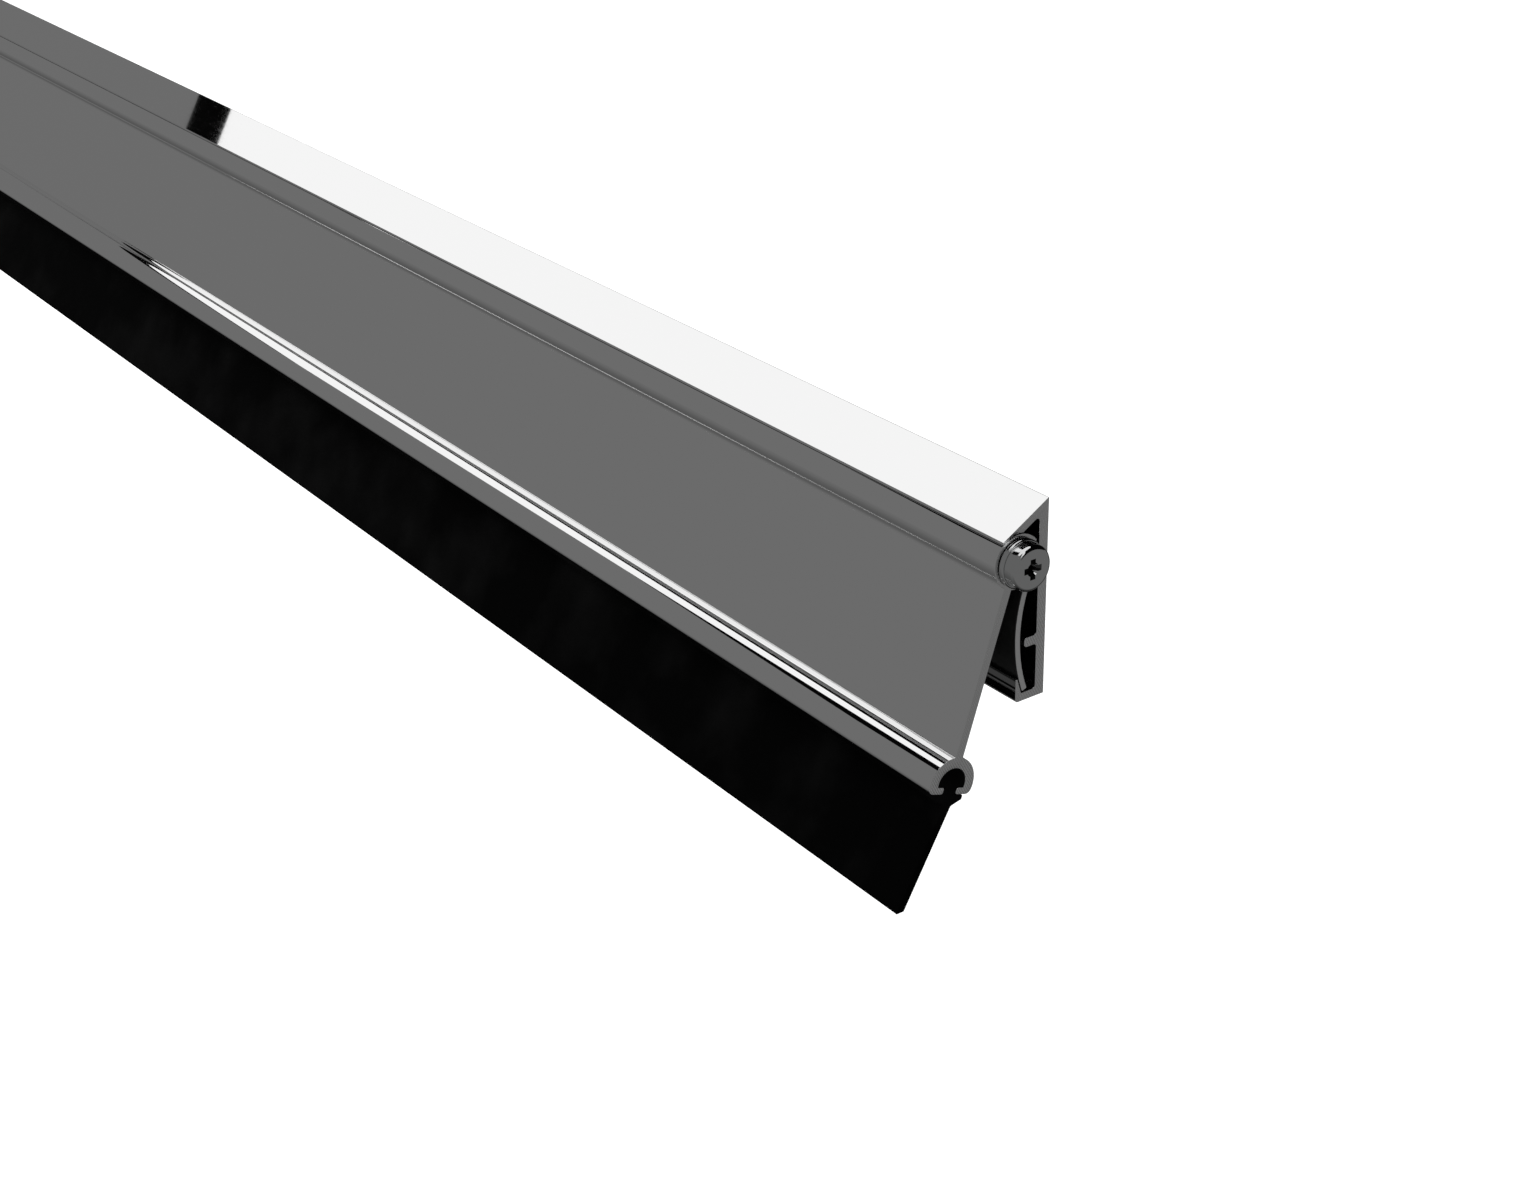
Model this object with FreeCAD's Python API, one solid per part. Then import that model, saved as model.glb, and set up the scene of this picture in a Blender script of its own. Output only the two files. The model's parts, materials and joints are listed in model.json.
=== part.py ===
"""Automatic door bottom seal, with its flap in the raised position.

Frame, in millimetres: X runs along the seal, Y = 0 is the mounting face at the back of the carrier, -Y is the
front, and Z = 0 is the underside of the carrier. The origin is at mid-length, on the mounting face's lower
edge. Every long piece is an extrusion along X, so its section is drawn in Y and Z.
"""
import FreeCAD, Part
import math
import os

# Carrier: the extrusion with the mounting face
SEAL_LENGTH = 835.0
PLATE_THICKNESS = 1.3
LIP_REACH = 6.5
LIP_SLOPE_DEG = 30.0
LIP_THICKNESS = 1.05
LIP_EDGE_THICKNESS = 0.25
FOOT_REACH = 4.25
FOOT_FLOOR = 1.05
FOOT_LIP_HEIGHT = 3.0
FOOT_CORNER_RADIUS = 0.4
RIB_HEIGHT_ON_PLATE = 7.35
RIB_THICKNESS = 1.2
RIB_REACH = 1.8
INNER_FILLET = 0.4
FIXING_HOLE_DIAMETER = 4.2
FIXING_HOLE_COUNT = 4
FIXING_HOLE_END_MARGIN = 30.0

# Hinge: a bead on the carrier inside the flap's knuckle
HINGE_REACH = 4.25
HINGE_HEIGHT = 17.8
BEAD_RADIUS = 2.2
BEAD_PORT_DIAMETER = 2.4
NECK_THICKNESS = 1.8
NECK_DROP = 0.2
HINGE_CLEARANCE = 0.15
KNUCKLE_WALL = 1.0
KNUCKLE_LIP_GAP = 0.2
KNUCKLE_STOP_GAP = 0.2
KNUCKLE_LOWER_EDGE_DEG = -80.0

# Flap: it hangs from the hinge, swung out to the front at rest
FLAP_REST_TILT_DEG = 19.1
FLAP_END_CLEARANCE = 0.15
FLAP_DROP = 26.9
FLAP_THICKNESS = 1.15
FLAP_OFFSET = 0.36
GROOVE_RADIUS = 2.0
GROOVE_WALL = 1.3
GROOVE_LEDGE_DROP = 0.4
GROOVE_HOOK_THICKNESS = 0.85
GROOVE_MOUTH = 1.96
GROOVE_CORNER_RADIUS = 0.8
GROOVE_HOOK_TIP_RADIUS = 0.3

# Wiper blade: a rubber extrusion in the flap's groove
BLADE_CLEARANCE = 0.08
BLADE_NECK_PLAY = 0.1
BLADE_FLANGE_WIDTH = 4.4
BLADE_FLANGE_EDGE = 0.55
BLADE_FLANGE_DEPTH = 1.4
BLADE_THICKNESS = 1.05
BLADE_ROOT_OFFSET = 0.45
BLADE_SPLAY_DEG = 11.3
BLADE_TIP_DROP = 21.9

# Leaf spring: a bowed strip between the foot and the knuckle
LEAF_THICKNESS = 0.85
LEAF_SEAT_REACH = 3.3
LEAF_BOW = 1.17
LEAF_KNUCKLE_GAP = 0.2
LEAF_OVERLAP = 0.5
LEAF_SEAT_CLEARANCE = 0.1

# Hinge screws and washers, one pair at each end
SCREW_HEAD_DIAMETER = 5.6
SCREW_HEAD_HEIGHT = 1.7
SCREW_HEAD_EDGE_HEIGHT = 0.5
SCREW_FACE_DIAMETER = 4.0
SCREW_SHANK_LENGTH = 12.0
SCREW_TIP_LENGTH = 2.0
SCREW_TIP_DIAMETER = 0.8
SCREW_PORT_CLEARANCE = 0.05
RECESS_SPAN = 2.7
RECESS_FLOOR_SPAN = 1.1
RECESS_WIDTH = 0.75
RECESS_DEPTH = 1.0
WASHER_DIAMETER = 6.0
WASHER_THICKNESS = 0.7
WASHER_HOLE_CLEARANCE = 0.15
WASHER_EDGE_CHAMFER = 0.12

ALONG = FreeCAD.Vector(1, 0, 0)
ORIGIN = FreeCAD.Vector(0, 0, 0)
SAME_PLACE = 1e-4

# Sizes that follow from the driving dimensions
knuckle_inner_radius = BEAD_RADIUS + HINGE_CLEARANCE
knuckle_outer_radius = knuckle_inner_radius + KNUCKLE_WALL
knuckle_stop_deg = math.degrees(
    math.acos((HINGE_REACH - PLATE_THICKNESS - KNUCKLE_STOP_GAP) / knuckle_outer_radius)
)
lip_clearance_radius = knuckle_outer_radius + KNUCKLE_LIP_GAP
lip_slope = math.radians(LIP_SLOPE_DEG)
lip_top_height = HINGE_HEIGHT + (
    lip_clearance_radius + LIP_EDGE_THICKNESS + HINGE_REACH * math.sin(lip_slope)
) / math.cos(lip_slope)
flap_length = SEAL_LENGTH - 2 * FLAP_END_CLEARANCE
groove_outer_radius = GROOVE_RADIUS + GROOVE_WALL
groove_bottom = FLAP_DROP + GROOVE_LEDGE_DROP + GROOVE_HOOK_THICKNESS
screw_shank_radius = BEAD_PORT_DIAMETER / 2 - SCREW_PORT_CLEARANCE


def point(reach, height):
    """A point of the section: reach is the distance in front of the mounting face."""
    return FreeCAD.Vector(0, -reach, height)


def polygon(corners):
    """A flat face of the section with straight sides."""
    points = [point(*corner) for corner in corners]
    return Part.Face(Part.makePolygon(points + points[:1]))


def disc(reach, height, radius):
    """A round face of the section."""
    return Part.Face(Part.Wire(Part.makeCircle(radius, point(reach, height), ALONG)))


def extrusion(face, length):
    """A section drawn out along the seal, half to each side of mid-length."""
    return face.translated(ALONG * (-length / 2)).extrude(ALONG * length)


def round_edges(solid, corners, radius):
    """Round the long edges that run through the given corners of the section."""
    edges = []
    for edge in solid.Edges:
        middle = edge.valueAt((edge.FirstParameter + edge.LastParameter) / 2)
        runs_along = abs(edge.tangentAt(edge.FirstParameter).x) > 1 - SAME_PLACE
        on_corner = any(
            math.hypot(-middle.y - reach, middle.z - height) < SAME_PLACE for reach, height in corners
        )
        if runs_along and on_corner:
            edges.append(edge)
    return solid.makeFillet(radius, edges)


def hinge_point(radius, angle_deg):
    """Reach and height of a point round the hinge axis; 0 degrees looks back, 90 looks up."""
    angle = math.radians(angle_deg)
    return HINGE_REACH - radius * math.cos(angle), HINGE_HEIGHT + radius * math.sin(angle)


def swing_out(solid):
    """Turn a piece drawn hanging straight down to the flap's rest tilt."""
    return solid.rotate(point(HINGE_REACH, HINGE_HEIGHT), ALONG, -FLAP_REST_TILT_DEG)


def hanging(out, drop):
    """Reach and height of a flap point while it hangs straight down from the hinge axis."""
    return HINGE_REACH + out, HINGE_HEIGHT - drop


def swung(out, drop):
    """Reach and height of a flap point at the flap's rest tilt."""
    tilt = math.radians(FLAP_REST_TILT_DEG)
    reach = HINGE_REACH + drop * math.sin(tilt) + out * math.cos(tilt)
    height = HINGE_HEIGHT - drop * math.cos(tilt) + out * math.sin(tilt)
    return reach, height


os.makedirs("parts", exist_ok=True)

# Leaf spring, an arc from the foot's channel to just behind the knuckle's lower edge
knuckle_edge_reach, knuckle_edge_height = hinge_point(knuckle_outer_radius, KNUCKLE_LOWER_EDGE_DEG)
leaf_foot = point(LEAF_SEAT_REACH, FOOT_FLOOR + LEAF_SEAT_CLEARANCE)
leaf_contact = point(knuckle_edge_reach - LEAF_KNUCKLE_GAP, knuckle_edge_height)
leaf_chord = leaf_contact - leaf_foot
leaf_radius = leaf_chord.Length**2 / (8 * LEAF_BOW) + LEAF_BOW / 2
leaf_inward = leaf_chord.cross(ALONG).normalize()
leaf_center = leaf_foot + leaf_chord * 0.5 + leaf_inward * (leaf_radius - LEAF_BOW)


def leaf_point(radius, height_on_outside):
    """A point of the leaf on the radius through the outer face at a given height."""
    rise = math.asin((height_on_outside - leaf_center.z) / leaf_radius)
    return leaf_center + FreeCAD.Vector(0, -math.cos(rise), math.sin(rise)) * radius


leaf_levels = [leaf_foot.z, (leaf_foot.z + leaf_contact.z) / 2, leaf_contact.z + LEAF_OVERLAP]
leaf_outer = [leaf_point(leaf_radius, level) for level in leaf_levels]
leaf_inner = [leaf_point(leaf_radius - LEAF_THICKNESS, level) for level in leaf_levels]
leaf_section = Part.Face(
    Part.Wire(
        [
            Part.Arc(*leaf_outer).toShape(),
            Part.makeLine(leaf_outer[-1], leaf_inner[-1]),
            Part.Arc(*reversed(leaf_inner)).toShape(),
            Part.makeLine(leaf_inner[0], leaf_outer[0]),
        ]
    )
)
leaf_spring = extrusion(leaf_section, SEAL_LENGTH)
leaf_spring.exportStep("parts/leaf_spring.step")

# Carrier: back plate, drip lip, foot, rib, and the hinge bead on its neck
lip_depth = LIP_THICKNESS / math.cos(lip_slope)
lip_root_height = lip_top_height - PLATE_THICKNESS * math.tan(lip_slope)
lip_tip_height = lip_top_height - LIP_REACH * math.tan(lip_slope)
plate = polygon(
    [(0, 0), (PLATE_THICKNESS, 0), (PLATE_THICKNESS, lip_root_height), (0, lip_top_height)]
)
lip = polygon(
    [
        (PLATE_THICKNESS, lip_root_height),
        (LIP_REACH, lip_tip_height),
        (
            LIP_REACH - LIP_THICKNESS * math.sin(lip_slope),
            lip_tip_height - LIP_THICKNESS * math.cos(lip_slope),
        ),
        (PLATE_THICKNESS, lip_root_height - lip_depth),
    ]
)
knuckle_room = disc(HINGE_REACH, HINGE_HEIGHT, lip_clearance_radius)
scooped_lip = extrusion(lip, SEAL_LENGTH).cut(extrusion(knuckle_room, SEAL_LENGTH))
foot_lip_inner = [
    -leaf_point(leaf_radius, level).y + LEAF_SEAT_CLEARANCE for level in (leaf_foot.z, FOOT_LIP_HEIGHT)
]
foot = polygon(
    [
        (0, 0),
        (FOOT_REACH, 0),
        (FOOT_REACH, FOOT_LIP_HEIGHT),
        (foot_lip_inner[1], FOOT_LIP_HEIGHT),
        (foot_lip_inner[0], FOOT_FLOOR),
        (0, FOOT_FLOOR),
    ]
)
rib_tip = PLATE_THICKNESS + RIB_REACH
rib_low = RIB_HEIGHT_ON_PLATE - RIB_THICKNESS / 2
rib_high = RIB_HEIGHT_ON_PLATE + RIB_THICKNESS / 2
rib = polygon([(0, rib_low), (rib_tip, rib_low), (rib_tip, rib_high), (0, rib_high)])
neck_low = HINGE_HEIGHT - NECK_DROP - NECK_THICKNESS / 2
neck_high = neck_low + NECK_THICKNESS
neck = polygon([(0, neck_low), (HINGE_REACH, neck_low), (HINGE_REACH, neck_high), (0, neck_high)])
hinge_bead = disc(HINGE_REACH, HINGE_HEIGHT, BEAD_RADIUS)
carrier = scooped_lip.fuse(
    [extrusion(face, SEAL_LENGTH) for face in (plate, foot, rib, neck, hinge_bead)]
)
bead_port = extrusion(disc(HINGE_REACH, HINGE_HEIGHT, BEAD_PORT_DIAMETER / 2), SEAL_LENGTH)
carrier = carrier.cut(bead_port).removeSplitter()
carrier = round_edges(carrier, [(FOOT_REACH, 0)], FOOT_CORNER_RADIUS)
carrier = round_edges(
    carrier,
    [
        (PLATE_THICKNESS, rib_low),
        (PLATE_THICKNESS, rib_high),
        (PLATE_THICKNESS, neck_low),
        (PLATE_THICKNESS, neck_high),
        (PLATE_THICKNESS, FOOT_FLOOR),
        (PLATE_THICKNESS, lip_root_height - lip_depth),
    ],
    INNER_FILLET,
)
carrier = round_edges(carrier, [(rib_tip, rib_low), (rib_tip, rib_high)], INNER_FILLET)
fixing_hole_height = (rib_high + neck_low) / 2
fixing_hole_pitch = (SEAL_LENGTH - 2 * FIXING_HOLE_END_MARGIN) / (FIXING_HOLE_COUNT - 1)
for index in range(FIXING_HOLE_COUNT):
    hole_x = FIXING_HOLE_END_MARGIN - SEAL_LENGTH / 2 + index * fixing_hole_pitch
    hole_start = point(0, fixing_hole_height) + ALONG * hole_x
    carrier = carrier.cut(
        Part.makeCylinder(
            FIXING_HOLE_DIAMETER / 2, PLATE_THICKNESS, hole_start, point(PLATE_THICKNESS, 0)
        )
    )
carrier.exportStep("parts/carrier_profile.step")

# Flap: knuckle, web and groove, drawn hanging down and then swung out to its rest tilt
slot_edges = [KNUCKLE_LOWER_EDGE_DEG + FLAP_REST_TILT_DEG, knuckle_stop_deg + FLAP_REST_TILT_DEG]
slot_middle = sum(slot_edges) / 2
slot_reach = 2 * knuckle_outer_radius
knuckle_slot = polygon(
    [(HINGE_REACH, HINGE_HEIGHT)]
    + [hinge_point(slot_reach, angle) for angle in (slot_edges[0], slot_middle, slot_edges[1])]
)
knuckle = (
    extrusion(disc(HINGE_REACH, HINGE_HEIGHT, knuckle_outer_radius), flap_length)
    .cut(extrusion(disc(HINGE_REACH, HINGE_HEIGHT, knuckle_inner_radius), flap_length))
    .cut(extrusion(knuckle_slot, flap_length))
)
web_inner = FLAP_OFFSET - FLAP_THICKNESS / 2
web_outer = FLAP_OFFSET + FLAP_THICKNESS / 2
web_top = knuckle_inner_radius + KNUCKLE_WALL / 2
web_bottom = FLAP_DROP - GROOVE_RADIUS - GROOVE_WALL / 2
web = polygon(
    [
        hanging(web_inner, web_top),
        hanging(web_outer, web_top),
        hanging(web_outer, web_bottom),
        hanging(web_inner, web_bottom),
    ]
)


def groove_band(half_width, top, bottom):
    """A rectangle across the flap, centred on its web."""
    return polygon(
        [
            hanging(FLAP_OFFSET - half_width, top),
            hanging(FLAP_OFFSET + half_width, top),
            hanging(FLAP_OFFSET + half_width, bottom),
            hanging(FLAP_OFFSET - half_width, bottom),
        ]
    )


groove_ledge = FLAP_DROP + GROOVE_LEDGE_DROP
groove_body = extrusion(disc(*hanging(FLAP_OFFSET, FLAP_DROP), groove_outer_radius), flap_length).cut(
    extrusion(
        groove_band(groove_outer_radius, groove_bottom, groove_bottom + groove_outer_radius), flap_length
    )
)
groove = extrusion(disc(*hanging(FLAP_OFFSET, FLAP_DROP), GROOVE_RADIUS), flap_length).cut(
    extrusion(groove_band(GROOVE_RADIUS, groove_ledge, FLAP_DROP + GROOVE_RADIUS), flap_length)
)
groove_mouth = extrusion(groove_band(GROOVE_MOUTH / 2, FLAP_DROP, groove_bottom), flap_length)
flap = knuckle.fuse([extrusion(web, flap_length), groove_body])
flap = flap.cut(groove).cut(groove_mouth).removeSplitter()
groove_half_bottom = math.sqrt(groove_outer_radius**2 - (groove_bottom - FLAP_DROP) ** 2)
flap = round_edges(
    flap,
    [hanging(FLAP_OFFSET + side * groove_half_bottom, groove_bottom) for side in (-1, 1)],
    GROOVE_CORNER_RADIUS,
)
flap = round_edges(
    flap,
    [
        hanging(FLAP_OFFSET + side * GROOVE_MOUTH / 2, drop)
        for side in (-1, 1)
        for drop in (groove_ledge, groove_bottom)
    ],
    GROOVE_HOOK_TIP_RADIUS,
)
flap = swing_out(flap)
flap.exportStep("parts/flap_profile.step")

# Wiper blade: head and neck in the groove, flange under the hooks, and the blade itself
head_radius = GROOVE_RADIUS - BLADE_CLEARANCE
head_bottom = groove_ledge - BLADE_CLEARANCE
blade_head = extrusion(disc(*hanging(FLAP_OFFSET, FLAP_DROP), head_radius), flap_length).cut(
    extrusion(groove_band(head_radius, head_bottom, FLAP_DROP + head_radius), flap_length)
)
flange_top = groove_bottom + BLADE_CLEARANCE
flange_half = BLADE_FLANGE_WIDTH / 2
neck_half = GROOVE_MOUTH / 2 - BLADE_NECK_PLAY
blade_neck = groove_band(neck_half, FLAP_DROP, flange_top + BLADE_FLANGE_EDGE)
root_out = FLAP_OFFSET - BLADE_ROOT_OFFSET
root_drop = flange_top + BLADE_FLANGE_DEPTH
root_half = BLADE_THICKNESS / 2
blade_flange = polygon(
    [
        hanging(FLAP_OFFSET - flange_half, flange_top),
        hanging(FLAP_OFFSET + flange_half, flange_top),
        hanging(FLAP_OFFSET + flange_half, flange_top + BLADE_FLANGE_EDGE),
        hanging(root_out + root_half, root_drop),
        hanging(root_out - root_half, root_drop),
        hanging(FLAP_OFFSET - flange_half, flange_top + BLADE_FLANGE_EDGE),
    ]
)
blade_lean = math.radians(FLAP_REST_TILT_DEG + BLADE_SPLAY_DEG)
blade_half_cut = BLADE_THICKNESS / 2 / math.cos(blade_lean)
blade_start = swung(root_out, flange_top + BLADE_FLANGE_EDGE)
blade_tip_reach = blade_start[0] + (blade_start[1] + BLADE_TIP_DROP) * math.tan(blade_lean)
blade_strip = polygon(
    [
        (blade_start[0] - blade_half_cut, blade_start[1]),
        (blade_start[0] + blade_half_cut, blade_start[1]),
        (blade_tip_reach + blade_half_cut, -BLADE_TIP_DROP),
        (blade_tip_reach - blade_half_cut, -BLADE_TIP_DROP),
    ]
)
blade_top = swing_out(blade_head.fuse([extrusion(face, flap_length) for face in (blade_neck, blade_flange)]))
wiper_blade = blade_top.fuse(extrusion(blade_strip, flap_length)).removeSplitter()
wiper_blade.exportStep("parts/wiper_blade.step")

# Washers and screws, made for the right-hand end and mirrored to the left
seal_end = FreeCAD.Vector(SEAL_LENGTH / 2, -HINGE_REACH, HINGE_HEIGHT)
washer_hole_radius = screw_shank_radius + WASHER_HOLE_CLEARANCE
washer = Part.makeCylinder(WASHER_DIAMETER / 2, WASHER_THICKNESS, seal_end, ALONG)
washer = washer.makeChamfer(
    WASHER_EDGE_CHAMFER, [edge for edge in washer.Edges if isinstance(edge.Curve, Part.Circle)]
)
washer = washer.cut(Part.makeCylinder(washer_hole_radius, WASHER_THICKNESS, seal_end, ALONG))

head_seat = seal_end + ALONG * WASHER_THICKNESS


def on_screw(distance, radius):
    """A point of the screw's half section, measured outwards from the seat of the head."""
    return head_seat + FreeCAD.Vector(distance, 0, radius)


dome_corner = on_screw(SCREW_HEAD_EDGE_HEIGHT, SCREW_HEAD_DIAMETER / 2)
face_corner = on_screw(SCREW_HEAD_HEIGHT, SCREW_FACE_DIAMETER / 2)
dome_rise = SCREW_HEAD_HEIGHT - SCREW_HEAD_EDGE_HEIGHT
dome_run = (SCREW_HEAD_DIAMETER - SCREW_FACE_DIAMETER) / 2
dome_middle = on_screw(
    SCREW_HEAD_EDGE_HEIGHT + dome_rise * math.sin(math.pi / 4),
    SCREW_FACE_DIAMETER / 2 + dome_run * math.cos(math.pi / 4),
)
screw_outline = [
    Part.makePolygon(
        [
            face_corner,
            on_screw(SCREW_HEAD_HEIGHT, 0),
            on_screw(-WASHER_THICKNESS - SCREW_SHANK_LENGTH, 0),
            on_screw(-WASHER_THICKNESS - SCREW_SHANK_LENGTH, SCREW_TIP_DIAMETER / 2),
            on_screw(-WASHER_THICKNESS - SCREW_SHANK_LENGTH + SCREW_TIP_LENGTH, screw_shank_radius),
            on_screw(0, screw_shank_radius),
            on_screw(0, SCREW_HEAD_DIAMETER / 2),
            dome_corner,
        ]
    ),
    Part.Arc(dome_corner, dome_middle, face_corner).toShape(),
]
screw_section = Part.Face(Part.Wire([edge for piece in screw_outline for edge in piece.Edges]))
screw = screw_section.revolve(head_seat, ALONG, 360)
recess_floor = head_seat + ALONG * (SCREW_HEAD_HEIGHT - RECESS_DEPTH)
recess_arms = [
    Part.makeBox(
        RECESS_DEPTH,
        width,
        height,
        recess_floor - FreeCAD.Vector(0, width / 2, height / 2),
    )
    for width, height in ((RECESS_WIDTH, RECESS_SPAN), (RECESS_SPAN, RECESS_WIDTH))
]
recess_taper = Part.makeCone(RECESS_FLOOR_SPAN / 2, RECESS_SPAN / 2, RECESS_DEPTH, recess_floor, ALONG)
screw = screw.cut(recess_arms[0].fuse(recess_arms[1]).common(recess_taper))

for name, right_piece in (("washer", washer), ("hinge_screw", screw)):
    right_piece.exportStep(f"parts/{name}_right.step")
    right_piece.mirror(ORIGIN, ALONG).exportStep(f"parts/{name}_left.step")
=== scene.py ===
import json
import math

import bmesh
import bpy
from mathutils import Matrix, Vector
from mathutils.geometry import intersect_line_line_2d


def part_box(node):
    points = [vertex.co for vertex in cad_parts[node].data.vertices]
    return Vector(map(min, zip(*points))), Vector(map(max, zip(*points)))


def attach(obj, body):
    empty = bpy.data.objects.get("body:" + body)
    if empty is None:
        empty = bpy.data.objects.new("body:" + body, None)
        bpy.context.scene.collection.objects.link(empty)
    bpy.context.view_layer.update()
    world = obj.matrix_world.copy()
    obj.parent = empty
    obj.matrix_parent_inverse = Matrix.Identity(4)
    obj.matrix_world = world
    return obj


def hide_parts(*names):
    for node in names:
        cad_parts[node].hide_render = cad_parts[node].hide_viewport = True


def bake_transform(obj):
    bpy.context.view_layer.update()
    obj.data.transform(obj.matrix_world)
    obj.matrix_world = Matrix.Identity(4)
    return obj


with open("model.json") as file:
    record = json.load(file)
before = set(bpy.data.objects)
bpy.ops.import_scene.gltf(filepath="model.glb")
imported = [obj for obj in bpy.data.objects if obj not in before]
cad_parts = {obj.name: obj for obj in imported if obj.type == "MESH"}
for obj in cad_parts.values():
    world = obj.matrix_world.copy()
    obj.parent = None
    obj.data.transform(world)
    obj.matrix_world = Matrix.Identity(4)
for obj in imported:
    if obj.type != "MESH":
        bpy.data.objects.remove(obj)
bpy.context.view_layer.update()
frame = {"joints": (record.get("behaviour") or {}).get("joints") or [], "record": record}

bl_info = {
    "name": "Door bottom seal",
    "version": (1, 0, 0),
    "blender": (4, 5, 0),
    "location": "View3D > Sidebar > Door Seal",
    "description": "Builds the looks of an automatic door bottom seal around its packed frame",
    "category": "Object",
}

MM = 0.001
HINGE_JOINT = frame["joints"][0]
HINGE_REACH_MM = -HINGE_JOINT["pos_m"][1] / MM
HINGE_HEIGHT_MM = HINGE_JOINT["pos_m"][2] / MM
FIXING_MOUNTS = [mount for mount in frame["record"]["mounts"] if mount["kind"] == "bolt_pattern"]
FIXING_HOLE_RADIUS_MM = FIXING_MOUNTS[0]["dims"]["hole_r_mm"]

# Fineness of the meshes, and what counts in them as one place and as a sharp edge
ARC_STEP_DEG = 3.0
CORNER_STEP_DEG = 10.0
TURNED_STEPS = 96
END_EDGE_STEPS = 3
LEAF_STEPS = 24
DOME_STEPS = 24
SAME_PLACE = 1e-7
SHARP_ANGLE_DEG = 40.0
FLAT_FACE_WEIGHT = 100

# How far the cutters stand out of the faces that they cut; those of the recess differ and so share no plane
DRILL_PROUD = 0.325 * MM
RECESS_ARM_PROUD = 0.25 * MM
RECESS_MIDDLE_PROUD = 0.333 * MM

# Distance between the lines of a wave texture at a scale of 1
WAVE_LENGTH = math.pi / 10

# Photograph's frame and viewpoint
PHOTO_WIDTH_PX = 1521
FOCAL_LENGTH_PX = 2302.3
PRINCIPAL_POINT_X_PX = 896.0
SENSOR_WIDTH_MM = 36.0
CAMERA_PLACE = Vector((0.5915, -0.1575, 0.1264))
CAMERA_AZIMUTH_DEG = 52.0
CAMERA_ELEVATION_DEG = 26.07

# Stage, in metres and degrees: angles round the seal run from its left end towards the front, and heights
# from the horizon
FLOOR_HALF_WIDTH = 8.0
FLOOR_GLOW = 0.5  # share of the floor's white that no shadow darkens
LAMP_PLACE = Vector((-1.0, -0.8, 1.6))
LAMP_SIZE = 1.5
TENT_STEP_DEG = 5.0
TENT_ROWS_DEG = {"wall": (-3.0, 24.9), "sill": (24.9, 25.7), "low": (25.7, 36.5), "high": (36.5, 58.0)}
OPEN_ROWS = ("low", "high")
# the rear's black is painted shade, standing in for the door behind the seal and its shadow
BLACK_ROWS = {"window": ("sill",), "frame": ("high",), "cloth": (), "rear": tuple(TENT_ROWS_DEG)}
WINDOW_SIDES_DEG = (-6.5, 16.0)
FRAME_SIDE_DEG = 31.0
GROUNDSHEET_LIFT = 0.02
GROUNDSHEET_STEPS = 64

# The groundsheet's shade: (place across the seal, share of the cloth's brightness) from front to back, and
# the places past the seal's right end between which the shade fades out
SHADE_ACROSS = ((-0.8, 1.0), (-0.45, 0.85), (-0.15, 0.55), (0.0, 0.0), (0.08, 0.0), (0.35, 0.3))
SHADE_END = (0.45, 0.75)


def length_mm(node):
    """Length of a node along the seal, in millimetres."""
    low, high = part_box(node)
    return (high.x - low.x) / MM


def size(name, description, millimetres):
    """A length that a user can change, with its default in millimetres."""
    return bpy.props.FloatProperty(
        name=name, description=description, default=millimetres * MM, precision=5, unit="LENGTH"
    )


def turn(name, description, degrees):
    """An angle that a user can change, with its default in degrees."""
    return bpy.props.FloatProperty(
        name=name, description=description, default=math.radians(degrees), unit="ROTATION"
    )


def linear(code):
    """Linear red, green and blue of an sRGB hex colour."""
    levels = [int(code[place : place + 2], 16) / 255 for place in (1, 3, 5)]
    return [level / 12.92 if level <= 0.04045 else ((level + 0.055) / 1.055) ** 2.4 for level in levels]


def colour(name, description, code):
    """A colour that a user can change, with its default as an sRGB hex value."""
    return bpy.props.FloatVectorProperty(
        name=name, description=description, default=linear(code), min=0.0, max=1.0, subtype="COLOR"
    )


class CarrierSizes(bpy.types.PropertyGroup):
    """Section of the carrier rail, with the hinge bead on it."""

    length: size("Length", "Length of the rail", length_mm("carrier_profile"))
    plate: size("Plate", "Thickness of the back plate", 1.3)
    lip_reach: size("Lip reach", "How far the drip lip stands out from the back", 6.6)
    lip_slope: turn("Lip slope", "Fall of the drip lip", 30.0)
    lip_thickness: size("Lip thickness", "Thickness of the drip lip at its root", 1.05)
    lip_edge: size("Lip edge", "Thickness left over the knuckle's room", 0.25)
    foot_reach: size("Foot reach", "How far the foot stands out from the back", 4.25)
    foot_floor: size("Foot floor", "Thickness of the foot's floor", 1.05)
    foot_lip: size("Foot lip", "Height of the foot's upturned edge", 3.0)
    foot_corner: size("Foot corner", "Radius of the foot's lower front corner", 0.4)
    rib_height: size("Rib height", "Height of the rib's middle on the plate", 7.35)
    rib_thickness: size("Rib thickness", "Thickness of the rib behind the leaf spring", 1.2)
    rib_reach: size("Rib reach", "How far the rib stands out from the plate", 1.8)
    fillet: size("Inner fillet", "Radius in the rail's inner corners and on the rib", 0.4)
    hole_radius: size("Fixing hole radius", "Radius of the fixing holes", FIXING_HOLE_RADIUS_MM)
    hole_flare: size("Fixing hole flare", "Deburred edge of the fixing holes", 0.15)
    hinge_reach: size("Hinge reach", "Distance of the hinge axis from the back", HINGE_REACH_MM)
    hinge_height: size("Hinge height", "Height of the hinge axis", HINGE_HEIGHT_MM)
    bead_radius: size("Bead radius", "Radius of the hinge bead", 2.2)
    port_radius: size("Port radius", "Radius of the screw port in the bead", 1.2)
    neck_thickness: size("Neck thickness", "Thickness of the bead's neck", 1.8)
    neck_drop: size("Neck drop", "How far the neck's middle lies below the hinge axis", 0.2)


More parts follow.
